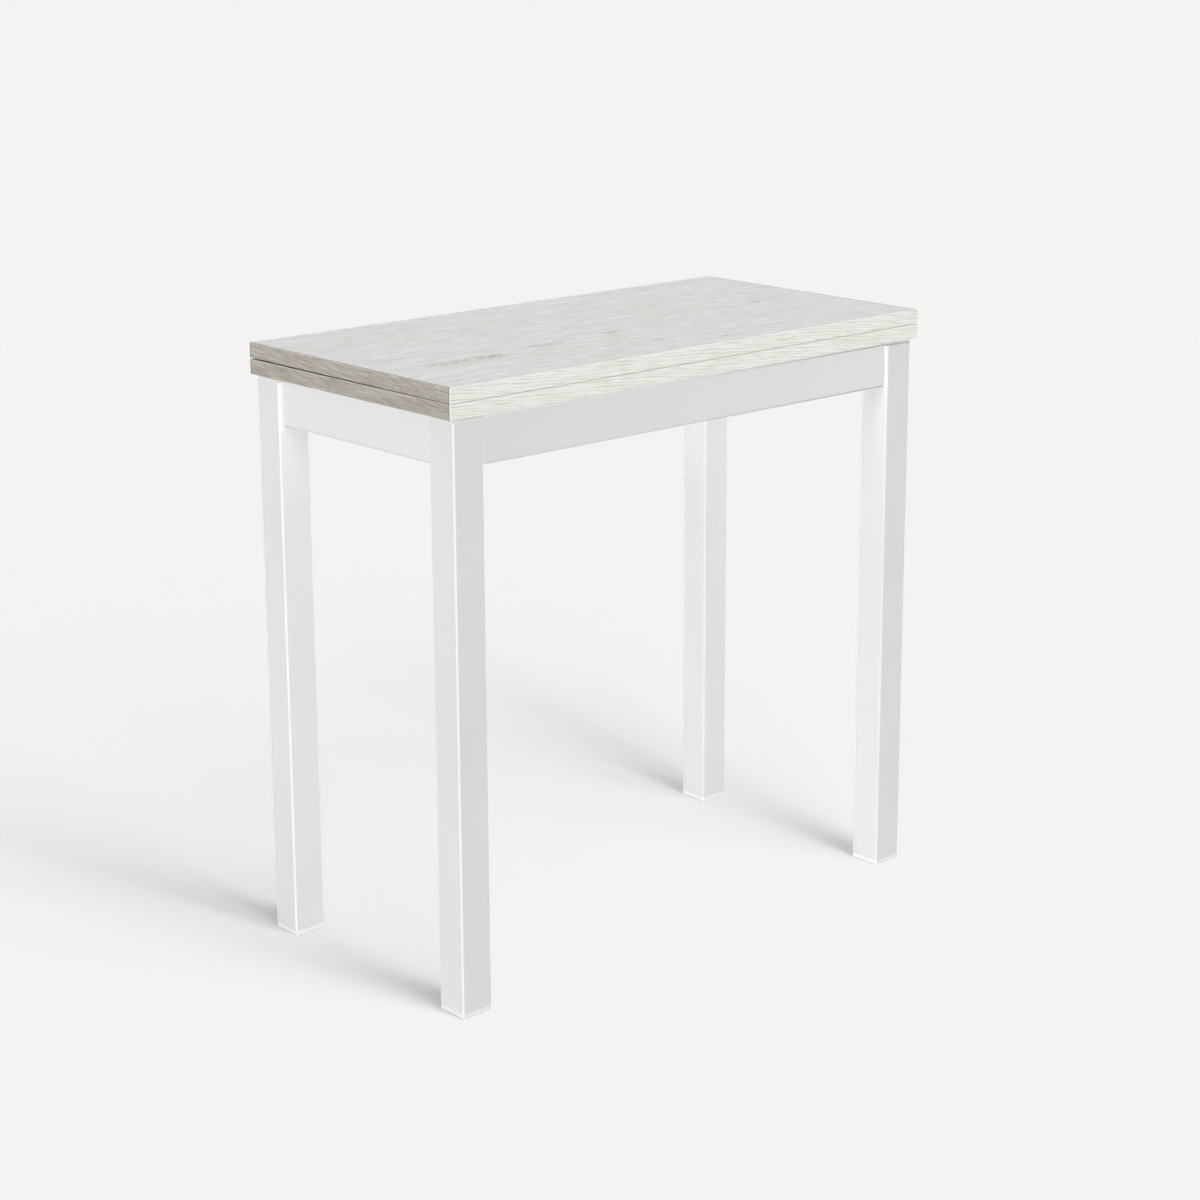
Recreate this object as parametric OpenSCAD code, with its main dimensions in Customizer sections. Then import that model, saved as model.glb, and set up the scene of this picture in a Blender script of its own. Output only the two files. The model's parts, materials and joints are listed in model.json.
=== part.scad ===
// Fold-over kitchen table. Two hinged leaves lie on each other over a steel tube frame.
// The pair turns a quarter turn on a pivot, then the upper leaf opens to double the top.
// Millimetres. Z is up, X runs along the closed top's long side, the front is at -Y and
// the leaves' hinges are at +Y. The origin is on the floor under the closed top's middle.

/* [Table top] */
// Length of each leaf
leaf_w = 800; // [720:10:1000]
// Depth of each leaf, half the depth of the open top
leaf_d = 400; // [380:10:500]
// Thickness of a leaf
board_t = 19; // [18:0.5:25]
// Height of the closed top above the floor
table_h = 780; // [720:5:900]
// Thickness of the edge bands
band_t = 2; // [1.2:0.2:3]
// Radius of the edge bands' long outer corners
band_r = 0.6; // [0.4:0.1:1.1]
// Gap between the leaves at the hinges
hinge_gap = 2; // [1.8:0.1:3]
// Thickness of the dots that hold the leaves apart at the front
dot_t = 0.5; // [0.3:0.1:1.5]
// Radius of these dots
dot_r = 4.5; // [3:0.5:8]

/* [Frame] */
// Width of the square leg tubes
leg_w = 45; // [41:1:60]
// Wall of the leg and apron tubes
tube_wall = 1.5; // [1.2:0.1:2.2]
// Outer corner radius of the leg tubes
leg_r = 3; // [2:0.5:4]
// Overhang of the top past the legs at its short ends
end_overhang = 7; // [2:1:20]
// Overhang of the top past the legs at the front and back
side_overhang = 5; // [2:1:15]
// Gap between the frame and the lower leaf
frame_gap = 3; // [3:0.1:5]
// Height of the aprons
apron_h = 58; // [52:1:80]
// Thickness of the aprons
apron_t = 20; // [18:1:25]
// Outer corner radius of the aprons
apron_r = 3; // [2:0.5:4]
// How far the long aprons stand back from the legs' faces
long_recess = 4.5; // [3:0.5:5.5]
// How far the short aprons stand back from the legs' faces
short_recess = 6; // [4:0.5:12]
// Height of the feet's flanges
foot_h = 6; // [4:1:12]
// Height of the leg caps' flanges
cap_h = 2.5; // [2:0.5:4]

/* [Swivel] */
// Width of the rail that carries the pivot
rail_w = 30; // [28:1:40]
// Height of the rail that carries the pivot
rail_h = 30; // [26:1:34]
// Thickness of the plate under the lower leaf
swivel_plate_t = 2.5; // [2.2:0.1:2.7]
// Side of the plate under the lower leaf
swivel_plate_w = 100; // [92:2:120]
// Radius of the pivot stud
stud_r = 6; // [5.5:0.5:7]
// Radius of the stop pin
stop_r = 4; // [3:0.5:5]
// Radius of the glide pads on the legs
pad_r = 9; // [6:0.5:12]

/* [Leaf hinges] */
// Distance of the outer hinges from the short ends
hinge_inset = 100; // [60:5:150]
// Depth of the hinge pins below the leaves' inner faces
pin_depth = 3.4; // [3.3:0.1:3.8]
// Joint between the leaves when they are open
open_joint = 0.8; // [0.6:0.1:1.2]
// Width of a hinge plate
hinge_plate_w = 36; // [32:1:50]
// Length of a hinge plate into the leaf
hinge_plate_l = 36; // [32:1:50]
// Thickness of a hinge plate
hinge_plate_t = 3; // [2.8:0.1:3.5]
// Width of a hinge's link
link_w = 8; // [6:0.5:10]
// Radius of the hinge pins
pin_r = 1.5; // [1.2:0.1:1.7]

/* [Hidden] */
$fn = 48;

// Clearances
fit = 0.02;
running = 0.05;
glide = 0.3;
pocket = 0.2;
over = 1;

// Colours
white_paint = [0.93, 0.94, 0.94];
white_plastic = [0.96, 0.96, 0.96];
top_decor = [0.86, 0.86, 0.85];
long_band_decor = [0.92, 0.92, 0.88];
end_band_decor = [0.70, 0.67, 0.62];
zinc = [0.72, 0.74, 0.76];
nickel = [0.66, 0.64, 0.60];
nylon = [0.90, 0.89, 0.84];
felt = [0.78, 0.78, 0.76];

// Levels
leaf_bottom = table_h - 2 * board_t - hinge_gap;
lower_face = leaf_bottom + board_t;
upper_face = lower_face + hinge_gap;
frame_top = leaf_bottom - frame_gap;
apron_mid = frame_top - apron_h / 2;

// Legs and aprons
leg_x = leaf_w / 2 - end_overhang - leg_w / 2;
leg_y = leaf_d / 2 - side_overhang - leg_w / 2;
leg_inner_x = leg_x - leg_w / 2;
leg_inner_y = leg_y - leg_w / 2;
long_apron_y = leaf_d / 2 - side_overhang - long_recess - apron_t / 2;
short_apron_x = leaf_w / 2 - end_overhang - short_recess - apron_t / 2;
apron_inner_y = long_apron_y - apron_t / 2;
inner_r_least = 0.3;

// Plastic tube ends
plug_wall = 2;
fin_out = 1.6;
fin_t = 1.2;
fin_pitch = 5;
foot_plug_l = 24;
cap_plug_l = 8;
flange_r = 1.5;

// Bolted joints, all with the same bolt
joint_plate_t = 3;
joint_plate_edge = 1;
joint_plate_r = 2;
bolt_r = 3;
bolt_hole_r = 3.3;
bolt_l = 16;
bolt_head_af = 10;
bolt_head_h = 4;
washer_r = 5.5;
washer_t = 1.2;
bolt_air = 1.5;
nut_body_r = 4.5;
nut_bulge_r = 5.6;
nut_bulge_l = 3;
nut_l = 13;
frame_bolt_y = apron_inner_y - washer_r - bolt_air;
frame_bolt_dz = apron_h / 2 - cap_h - cap_plug_l - nut_bulge_r - bolt_air;

// Pivot
pivot_x = leaf_d / 4;
pivot_y = leaf_d / 4;
rail_wall = 2;
rail_r = 2.5;
bush_flange_t = 1.5;
bush_wall = 2;
bush_flange_out = 6;
bush_below = 1;
rail_top = leaf_bottom - swivel_plate_t - glide - bush_flange_t;
rail_mid = rail_top - rail_h / 2;
rail_bolt_dx = rail_w / 2 + washer_r + bolt_air;
rail_plate_w = 2 * (rail_bolt_dx + washer_r + bolt_air);
bush_bottom = rail_top - rail_h - bush_below;
shoulder_bottom = bush_bottom - glide;
stud_head_out = 6;
stud_head_r = stud_r + stud_head_out;
stud_head_h = 3;
stud_step = 1;
stud_thread_r = stud_r - stud_step;
stud_tail = 2.5;
swivel_washer_t = 2;
swivel_washer_r = stud_r + stud_head_out;
spring_washer_t = 2.2;
spring_washer_w = 3.6;
spring_washer_slit = 1;
lock_nut_af = 2.8 * stud_r;
lock_nut_h = 8;
lock_nut_collar_h = 2;
lock_nut_collar_wall = 2;
swivel_plate_r = 12;
swivel_screw_in = 12;
stop_spigot_r = 2.5;
stop_l = 14;
stop_reach = (rail_w / 2 + stop_r + glide) * sqrt(2);
stop_rest_angle = -45;

// Wood screws
screw_r = 2.1;
screw_head_r = 4;
screw_l = 15;
hinge_screw_r = 1.7;
hinge_screw_head_r = 3.3;
hinge_screw_l = 14;
hinge_screw_side_in = 7;
hinge_screw_end_in = 6;
hinge_screw_past_knuckle = 9;

// Leaf hinges
pin_in = pin_depth + (hinge_gap - open_joint) / 2;
pin_y = leaf_d / 2 - pin_in;
lower_pin_z = lower_face - pin_depth;
upper_pin_z = upper_face + pin_depth;
link_l = upper_pin_z - lower_pin_z;
link_below = 0.4;
ear_below = 0.2;
link_r = pin_depth - link_below;
ear_r = pin_depth - ear_below;
ear_w = 6;
knuckle_w = link_w + 2 * ear_w;
knuckle_back = 1;
knuckle_l = pin_in + ear_r + knuckle_back;
plate_sink = 0.1;
knuckle_depth = pin_depth + ear_r + glide;

// The dots, and the slight slope at which the upper leaf rests on them
dot_in = 25;
dot_air = 0.1;
rest_slope = atan((hinge_gap - dot_t - dot_air) / (leaf_d - pin_in - dot_in));

// Glide pads, those on the aprons as wide as the aprons' flat tops
pad_t = frame_gap - glide;
apron_pad_r = apron_t / 2 - apron_r;
apron_pad_x = 150;

// Rectangle about the origin with round corners
module rounded_rect(w, h, r) {
    square([w - 2 * r, h], center = true);
    square([w, h - 2 * r], center = true);
    for (sx = [-1, 1], sy = [-1, 1])
        translate([sx * (w / 2 - r), sy * (h / 2 - r)])
            circle(r);
}

// Rectangular tube that stands on the origin
module tube(w, h, r, wall, length) {
    linear_extrude(length)
        difference() {
            rounded_rect(w, h, r);
            rounded_rect(w - 2 * wall, h - 2 * wall, max(r - wall, inner_r_least));
        }
}

// Hexagonal prism that stands on the origin
module hexagon(across_flats, h) {
    cylinder(r = across_flats / sqrt(3), h = h, $fn = 6);
}

// Countersunk screw that points up, with its head's face at z = 0
module countersunk_screw(r, head_r, length) {
    cylinder(r1 = head_r, r2 = r, h = head_r - r);
    cylinder(r = r, h = length);
}

// Frame corners: side is -1 for the left, end is -1 for the front
module at_leg(side, end) {
    translate([side * leg_x, end * leg_y, 0])
        children();
}

// The bolted joints between the long aprons and the legs, with +X into the leg
module at_frame_bolts() {
    for (side = [-1, 1], end = [-1, 1], level = [-1, 1])
        at_frame_bolt(side, end, level)
            children();
}

module at_frame_bolt(side, end, level) {
    translate([side * leg_inner_x, end * frame_bolt_y, apron_mid + level * frame_bolt_dz])
        mirror([side < 0 ? 1 : 0, 0, 0])
            children();
}

// The bolted joints between the pivot rail and the long aprons, with +X into the apron
module at_rail_bolts() {
    for (end = [-1, 1], side = [-1, 1])
        at_rail_bolt(side, end)
            children();
}

module at_rail_bolt(side, end) {
    translate([pivot_x + side * rail_bolt_dx, end * apron_inner_y, rail_mid])
        rotate([0, 0, end * 90])
            children();
}

module along_x() {
    rotate([0, 90, 0])
        children();
}

// Hexagon bolt through its washer and joint plate
module joint_bolt() {
    color(zinc)
        along_x()
            translate([0, 0, -joint_plate_t - washer_t]) {
                cylinder(r = bolt_r, h = bolt_l);
                translate([0, 0, -bolt_head_h])
                    hexagon(bolt_head_af, bolt_head_h);
            }
}

module joint_washer() {
    color(zinc)
        along_x()
            translate([0, 0, -joint_plate_t - washer_t])
                difference() {
                    cylinder(r = washer_r, h = washer_t);
                    translate([0, 0, -over])
                        cylinder(r = bolt_hole_r, h = washer_t + 2 * over);
                }
}

// Rivet nut, flush with the tube's outer face and set behind its wall
module joint_rivet_nut() {
    color(zinc)
        along_x()
            difference() {
                union() {
                    cylinder(r = nut_body_r - fit, h = nut_l);
                    translate([0, 0, tube_wall + fit])
                        cylinder(r = nut_bulge_r, h = nut_bulge_l);
                }
                translate([0, 0, -over])
                    cylinder(r = bolt_r + fit, h = nut_l + 2 * over);
            }
}

module joint_nut_hole() {
    along_x()
        translate([0, 0, -over])
            cylinder(r = nut_body_r, h = tube_wall + 2 * over);
}

module joint_bolt_hole() {
    along_x()
        translate([0, 0, -joint_plate_t - over])
            cylinder(r = bolt_hole_r, h = joint_plate_t + 2 * over);
}

module leg(side, end) {
    color(white_paint)
        difference() {
            at_leg(side, end)
                translate([0, 0, foot_h])
                    tube(leg_w, leg_w, leg_r, tube_wall, frame_top - cap_h - foot_h);
            for (level = [-1, 1])
                at_frame_bolt(side, end, level)
                    joint_nut_hole();
        }
}

// Side view of a flange, its lower corners rounded
module flange_profile(h) {
    r = min(flange_r, h / 2);
    translate([-leg_w / 2, r])
        square([leg_w, h - r]);
    translate([-leg_w / 2 + r, 0])
        square([leg_w - 2 * r, h]);
    for (sx = [-1, 1])
        translate([sx * (leg_w / 2 - r), r])
            circle(r);
}

// Plastic end of a leg tube, as a foot: a flange, and a hollow core with fins above it
module tube_plug(flange_h, plug_l) {
    inner_w = leg_w - 2 * tube_wall - 2 * running;
    core_w = inner_w - 2 * fin_out;
    core_r = max(leg_r - tube_wall, inner_r_least);
    intersection() {
        linear_extrude(flange_h)
            rounded_rect(leg_w, leg_w, leg_r);
        rotate([90, 0, 0])
            linear_extrude(2 * leg_w, center = true)
                flange_profile(flange_h);
        rotate([90, 0, 90])
            linear_extrude(2 * leg_w, center = true)
                flange_profile(flange_h);
    }
    translate([0, 0, flange_h])
        difference() {
            union() {
                linear_extrude(plug_l)
                    rounded_rect(core_w, core_w, core_r);
                for (z = [fin_pitch : fin_pitch : plug_l - fin_t])
                    translate([0, 0, z])
                        linear_extrude(fin_t)
                            rounded_rect(inner_w, inner_w, core_r);
            }
            linear_extrude(plug_l + over)
                rounded_rect(core_w - 2 * plug_wall, core_w - 2 * plug_wall, core_r);
        }
}

module foot(side, end) {
    color(white_plastic)
        at_leg(side, end)
            tube_plug(foot_h, foot_plug_l);
}

module leg_cap(side, end) {
    color(white_plastic)
        at_leg(side, end)
            translate([0, 0, frame_top])
                mirror([0, 0, 1])
                    tube_plug(cap_h, cap_plug_l);
}

// Long apron between the joint plates: end is -1 for the front one
module long_apron(end) {
    length = 2 * (leg_inner_x - joint_plate_t);
    color(white_paint)
        difference() {
            translate([-length / 2, end * long_apron_y, apron_mid])
                along_x()
                    tube(apron_h, apron_t, apron_r, tube_wall, length);
            for (side = [-1, 1])
                at_rail_bolt(side, end)
                    joint_nut_hole();
        }
}

// Short apron, welded between two legs: side is -1 for the left one
module short_apron(side) {
    length = 2 * leg_inner_y;
    color(white_paint)
        translate([side * short_apron_x, -length / 2, apron_mid])
            rotate([-90, 0, 0])
                tube(apron_t, apron_h, apron_r, tube_wall, length);
}

// Plates on a long apron's ends, which reach inwards past the tube to take the bolts
module long_apron_end_plates(end) {
    near_y = frame_bolt_y - washer_r - bolt_air;
    far_y = long_apron_y + apron_t / 2 - joint_plate_edge;
    color(white_paint)
        for (side = [-1, 1])
            difference() {
                translate([side * (leg_inner_x - joint_plate_t / 2), end * (near_y + far_y) / 2, apron_mid])
                    rotate([90, 0, 90])
                        linear_extrude(joint_plate_t, center = true)
                            rounded_rect(far_y - near_y, apron_h - 2 * joint_plate_edge, joint_plate_r);
                for (level = [-1, 1])
                    at_frame_bolt(side, end, level)
                        joint_bolt_hole();
            }
}

// Tube across the frame that carries the pivot
module pivot_rail() {
    length = 2 * (apron_inner_y - joint_plate_t);
    color(white_paint)
        difference() {
            translate([pivot_x, -length / 2, rail_mid])
                rotate([-90, 0, 0])
                    tube(rail_w, rail_h, rail_r, rail_wall, length);
            translate([pivot_x, pivot_y, rail_top - rail_h - over])
                cylinder(r = stud_r + running + bush_wall + fit, h = rail_h + 2 * over);
        }
}

module rail_end_plates() {
    color(white_paint)
        for (end = [-1, 1])
            difference() {
                translate([pivot_x, end * (apron_inner_y - joint_plate_t / 2), rail_mid])
                    rotate([90, 0, 0])
                        linear_extrude(joint_plate_t, center = true)
                            rounded_rect(rail_plate_w, rail_h, joint_plate_r);
                for (side = [-1, 1])
                    at_rail_bolt(side, end)
                        joint_bolt_hole();
            }
}

// Flanged bush in the rail, around the pivot stud
module pivot_bush() {
    body_r = stud_r + running + bush_wall;
    color(nylon)
        translate([pivot_x, pivot_y, 0])
            difference() {
                union() {
                    translate([0, 0, bush_bottom])
                        cylinder(r = body_r, h = rail_top - bush_bottom);
                    translate([0, 0, rail_top])
                        cylinder(r = body_r + bush_flange_out, h = bush_flange_t);
                }
                translate([0, 0, bush_bottom - over])
                    cylinder(r = stud_r + running, h = rail_h + bush_below + bush_flange_t + 2 * over);
            }
}

module glide_pad(r) {
    color(felt)
        cylinder(r = r, h = pad_t);
}

module leg_glide_pads() {
    for (side = [-1, 1], end = [-1, 1])
        at_leg(side, end)
            translate([0, 0, frame_top])
                glide_pad(pad_r);
}

module apron_glide_pads() {
    for (side = [-1, 1], end = [-1, 1])
        translate([side * apron_pad_x, end * long_apron_y, frame_top])
            glide_pad(apron_pad_r);
}

// Turns a piece of the upper leaf about the upper hinge pins, down onto the dots
module on_upper_leaf() {
    translate([0, pin_y, upper_pin_z])
        rotate([rest_slope, 0, 0])
            translate([0, -pin_y, -upper_pin_z])
                children();
}

// Places of the leaf hinges along the top
hinge_places = [hinge_inset - leaf_w / 2, 0, leaf_w / 2 - hinge_inset];

// At each hinge: the origin on the lower leaf's inner face at its rear edge
module at_lower_hinges() {
    for (x = hinge_places)
        translate([x, leaf_d / 2, lower_face])
            children();
}

// The same on the upper leaf, where -Z points into the board as well
module at_upper_hinges() {
    on_upper_leaf()
        for (x = hinge_places)
            translate([x, leaf_d / 2, upper_face])
                mirror([0, 0, 1])
                    children();
}

// Places of a hinge plate's three screws from the rear edge
hinge_screw_places = [
    [hinge_screw_side_in - hinge_plate_w / 2, -knuckle_l - hinge_screw_past_knuckle],
    [hinge_plate_w / 2 - hinge_screw_side_in, -knuckle_l - hinge_screw_past_knuckle],
    [0, hinge_screw_end_in - hinge_plate_l]
];

module at_hinge_screws() {
    for (place = hinge_screw_places)
        translate([place[0], place[1], -plate_sink])
            mirror([0, 0, 1])
                children();
}

module hinge_screw() {
    color(nickel)
        countersunk_screw(hinge_screw_r, hinge_screw_head_r, hinge_screw_l);
}

module hinge_screw_hole() {
    countersunk_screw(hinge_screw_r + fit, hinge_screw_head_r + fit, hinge_screw_l + fit);
}

// Hinge plate with the two ears that hold its pin
module hinge_plate() {
    plate_y = band_t + pocket;
    color(nickel)
        difference() {
            union() {
                translate([-hinge_plate_w / 2, -hinge_plate_l, -plate_sink - hinge_plate_t])
                    cube([hinge_plate_w, hinge_plate_l - plate_y, hinge_plate_t]);
                rotate([90, 0, 90])
                    linear_extrude(knuckle_w, center = true) {
                        translate([-pin_in, -pin_depth])
                            circle(ear_r);
                        translate([-knuckle_l, -pin_depth - ear_r])
                            square([knuckle_l - pin_in, 2 * ear_r]);
                    }
            }
            translate([-link_w / 2 - pocket, -pin_in - link_r - 2 * pocket, -knuckle_depth - over])
                cube([link_w + 2 * pocket, knuckle_l, knuckle_depth + 2 * over]);
            translate([0, -pin_in, -pin_depth])
                rotate([0, 90, 0])
                    cylinder(r = pin_r + fit, h = hinge_plate_w + 2 * over, center = true);
            at_hinge_screws()
                hinge_screw_hole();
        }
}

module hinge_pin() {
    color(nickel)
        translate([0, -pin_in, -pin_depth])
            rotate([0, 90, 0])
                cylinder(r = pin_r, h = knuckle_w - 2 * fit, center = true);
}

// Link between the two pins of a hinge, upright while the leaves are closed
module hinge_link(x) {
    color(nickel)
        translate([x, pin_y, lower_pin_z])
            difference() {
                rotate([90, 0, 90])
                    linear_extrude(link_w, center = true) {
                        circle(link_r);
                        translate([0, link_l])
                            circle(link_r);
                        translate([-link_r, 0])
                            square([2 * link_r, link_l]);
                    }
                for (z = [0, link_l])
                    translate([0, 0, z])
                        rotate([0, 90, 0])
                            cylinder(r = pin_r + running, h = link_w + 2 * over, center = true);
            }
}

// Room for a hinge in a leaf: for the plate in the face, and for the ears through the edge
module hinge_pocket() {
    translate([-hinge_plate_w / 2 - pocket, -hinge_plate_l - pocket, -plate_sink - hinge_plate_t])
        cube([hinge_plate_w + 2 * pocket, hinge_plate_l - band_t + pocket, hinge_plate_t + over]);
    hinge_notch();
    at_hinge_screws()
        hinge_screw_hole();
}

module hinge_notch() {
    translate([-knuckle_w / 2 - pocket, -knuckle_l - pocket, -knuckle_depth])
        cube([knuckle_w + 2 * pocket, knuckle_l + pocket + over, knuckle_depth + over]);
}

// Core of a leaf between its edge bands, with its underside at z
module board(z) {
    translate([-leaf_w / 2 + band_t, -leaf_d / 2 + band_t, z])
        cube([leaf_w - 2 * band_t, leaf_d - 2 * band_t, board_t]);
}

// Section of an edge band, glued at x = 0
module band_profile() {
    r = min(band_r, band_t - pocket);
    square([band_t - r, board_t]);
    translate([0, r])
        square([band_t, board_t - 2 * r]);
    for (y = [r, board_t - r])
        translate([band_t - r, y])
            circle(r);
}

// Band along a long edge: end is -1 for the front one
module long_band(end, z) {
    color(long_band_decor)
        mirror([0, end < 0 ? 1 : 0, 0])
            translate([-leaf_w / 2, leaf_d / 2 - band_t, z])
                rotate([90, 0, 90])
                    linear_extrude(leaf_w)
                        band_profile();
}

// Band along a short end, between the long bands: side is -1 for the left one
module end_band(side, z) {
    color(end_band_decor)
        mirror([side < 0 ? 1 : 0, 0, 0])
            translate([leaf_w / 2 - band_t, leaf_d / 2 - band_t, z])
                rotate([90, 0, 0])
                    linear_extrude(leaf_d - 2 * band_t)
                        band_profile();
}

module lower_board() {
    color(top_decor)
        difference() {
            board(leaf_bottom);
            at_lower_hinges()
                hinge_pocket();
            translate([pivot_x, pivot_y, leaf_bottom - over])
                cylinder(r = stud_head_r + pocket, h = stud_head_h + pocket + over);
            translate([0, 0, fit])
                at_swivel_screws()
                    countersunk_screw(screw_r + fit, screw_head_r, screw_l);
        }
}

module lower_rear_band() {
    difference() {
        long_band(1, leaf_bottom);
        at_lower_hinges()
            hinge_notch();
    }
}

module upper_board() {
    color(top_decor)
        difference() {
            on_upper_leaf()
                board(upper_face);
            at_upper_hinges()
                hinge_pocket();
        }
}

module upper_rear_band() {
    difference() {
        on_upper_leaf()
            long_band(1, upper_face);
        at_upper_hinges()
            hinge_notch();
    }
}

// Screws of the swivel plate, with their heads' faces on its underside
module at_swivel_screws() {
    reach = swivel_plate_w / 2 - swivel_screw_in;
    for (sx = [-1, 1], sy = [-1, 1])
        translate([pivot_x + sx * reach, pivot_y + sy * reach, leaf_bottom - swivel_plate_t])
            children();
}

module at_stop_pin() {
    translate([pivot_x, pivot_y, leaf_bottom - swivel_plate_t])
        rotate([0, 0, stop_rest_angle])
            translate([stop_reach, 0, 0])
                children();
}

module swivel_plate() {
    color(zinc)
        difference() {
            translate([pivot_x, pivot_y, leaf_bottom - swivel_plate_t])
                linear_extrude(swivel_plate_t)
                    rounded_rect(swivel_plate_w, swivel_plate_w, swivel_plate_r);
            translate([pivot_x, pivot_y, leaf_bottom - swivel_plate_t - over])
                cylinder(r = stud_r + fit, h = swivel_plate_t + 2 * over);
            at_stop_pin()
                translate([0, 0, -over])
                    cylinder(r = stop_spigot_r + fit, h = swivel_plate_t + 2 * over);
            at_swivel_screws()
                countersunk_screw(screw_r + fit, screw_head_r + fit, screw_l);
        }
}

module swivel_plate_screws() {
    color(zinc)
        at_swivel_screws()
            countersunk_screw(screw_r, screw_head_r, screw_l);
}

// Pin beside the rail, which stops the top at both ends of its quarter turn
module stop_pin() {
    color(zinc)
        at_stop_pin() {
            cylinder(r = stop_spigot_r, h = swivel_plate_t);
            mirror([0, 0, 1])
                cylinder(r = stop_r, h = stop_l);
        }
}

module pivot_stud() {
    thread_l = swivel_washer_t + spring_washer_t + lock_nut_h + lock_nut_collar_h + stud_tail;
    color(zinc)
        translate([pivot_x, pivot_y, 0]) {
            translate([0, 0, leaf_bottom])
                cylinder(r = stud_head_r, h = stud_head_h);
            translate([0, 0, shoulder_bottom])
                cylinder(r = stud_r, h = leaf_bottom - shoulder_bottom);
            translate([0, 0, shoulder_bottom - thread_l])
                cylinder(r = stud_thread_r, h = thread_l);
        }
}

// Ring around the pivot's axis with its top at z
module pivot_ring(z, r, h) {
    translate([pivot_x, pivot_y, z - h])
        difference() {
            cylinder(r = r, h = h);
            translate([0, 0, -over])
                cylinder(r = stud_thread_r + fit, h = h + 2 * over);
        }
}

module pivot_washer() {
    color(zinc)
        pivot_ring(shoulder_bottom, swivel_washer_r, swivel_washer_t);
}

module pivot_spring_washer() {
    ring_r = stud_thread_r + spring_washer_w;
    ring_top = shoulder_bottom - swivel_washer_t;
    color(zinc)
        difference() {
            pivot_ring(ring_top, ring_r, spring_washer_t);
            translate([pivot_x, pivot_y - spring_washer_slit / 2, ring_top - spring_washer_t - over])
                cube([ring_r + over, spring_washer_slit, spring_washer_t + 2 * over]);
        }
}

module pivot_lock_nut() {
    nut_top = shoulder_bottom - swivel_washer_t - spring_washer_t;
    color(zinc)
        translate([pivot_x, pivot_y, nut_top - lock_nut_h - lock_nut_collar_h])
            difference() {
                union() {
                    cylinder(r = stud_thread_r + lock_nut_collar_wall, h = lock_nut_collar_h);
                    translate([0, 0, lock_nut_collar_h])
                        hexagon(lock_nut_af, lock_nut_h);
                }
                translate([0, 0, -over])
                    cylinder(r = stud_thread_r + fit, h = lock_nut_h + lock_nut_collar_h + 2 * over);
            }
}

module leaf_dots() {
    color(felt)
        for (x = hinge_places)
            translate([x, -leaf_d / 2 + dot_in, lower_face])
                cylinder(r = dot_r, h = dot_t);
}

leg(-1, -1);  // front_left_leg
leg(1, -1);  // front_right_leg
leg(-1, 1);  // rear_left_leg
leg(1, 1);  // rear_right_leg
foot(-1, -1);  // front_left_foot
foot(1, -1);  // front_right_foot
foot(-1, 1);  // rear_left_foot
foot(1, 1);  // rear_right_foot
leg_cap(-1, -1);  // front_left_leg_cap
leg_cap(1, -1);  // front_right_leg_cap
leg_cap(-1, 1);  // rear_left_leg_cap
leg_cap(1, 1);  // rear_right_leg_cap
long_apron(-1);  // front_apron
long_apron(1);  // rear_apron
short_apron(-1);  // left_apron
short_apron(1);  // right_apron
long_apron_end_plates(-1);  // front_apron_end_plates
long_apron_end_plates(1);  // rear_apron_end_plates
at_frame_bolts() joint_bolt();  // frame_bolts
at_frame_bolts() joint_washer();  // frame_washers
at_frame_bolts() joint_rivet_nut();  // leg_rivet_nuts
pivot_rail();
rail_end_plates();
at_rail_bolts() joint_bolt();  // rail_bolts
at_rail_bolts() joint_washer();  // rail_washers
at_rail_bolts() joint_rivet_nut();  // rail_rivet_nuts
pivot_bush();
leg_glide_pads();
apron_glide_pads();
lower_board();
long_band(-1, leaf_bottom);  // lower_front_band
lower_rear_band();
end_band(-1, leaf_bottom);  // lower_left_band
end_band(1, leaf_bottom);  // lower_right_band
swivel_plate();
swivel_plate_screws();
stop_pin();
pivot_stud();
pivot_washer();
pivot_spring_washer();
pivot_lock_nut();
at_lower_hinges() hinge_plate();  // lower_hinge_plates
at_lower_hinges() hinge_pin();  // lower_hinge_pins
at_lower_hinges() at_hinge_screws() hinge_screw();  // lower_hinge_screws
leaf_dots();
hinge_link(hinge_places[0]);  // left_hinge_link
hinge_link(hinge_places[1]);  // middle_hinge_link
hinge_link(hinge_places[2]);  // right_hinge_link
upper_board();
on_upper_leaf() long_band(-1, upper_face);  // upper_front_band
upper_rear_band();
on_upper_leaf() end_band(-1, upper_face);  // upper_left_band
on_upper_leaf() end_band(1, upper_face);  // upper_right_band
at_upper_hinges() hinge_plate();  // upper_hinge_plates
at_upper_hinges() hinge_pin();  // upper_hinge_pins
at_upper_hinges() at_hinge_screws() hinge_screw();  // upper_hinge_screws
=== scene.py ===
"""Looks of the fold-over table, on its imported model. Metres: Z is up and the front is at -Y."""

import json
import math
from collections import namedtuple

import bmesh
import bpy
from mathutils import Euler, Matrix, Quaternion, Vector


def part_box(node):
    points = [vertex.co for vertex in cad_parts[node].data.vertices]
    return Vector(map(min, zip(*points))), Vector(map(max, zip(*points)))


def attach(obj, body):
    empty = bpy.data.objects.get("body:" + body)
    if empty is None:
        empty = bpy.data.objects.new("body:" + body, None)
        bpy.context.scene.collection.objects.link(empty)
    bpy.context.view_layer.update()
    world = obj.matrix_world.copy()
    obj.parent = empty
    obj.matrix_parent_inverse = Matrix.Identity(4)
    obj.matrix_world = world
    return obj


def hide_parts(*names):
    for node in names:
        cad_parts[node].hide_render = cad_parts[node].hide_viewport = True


MM = 0.001

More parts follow.
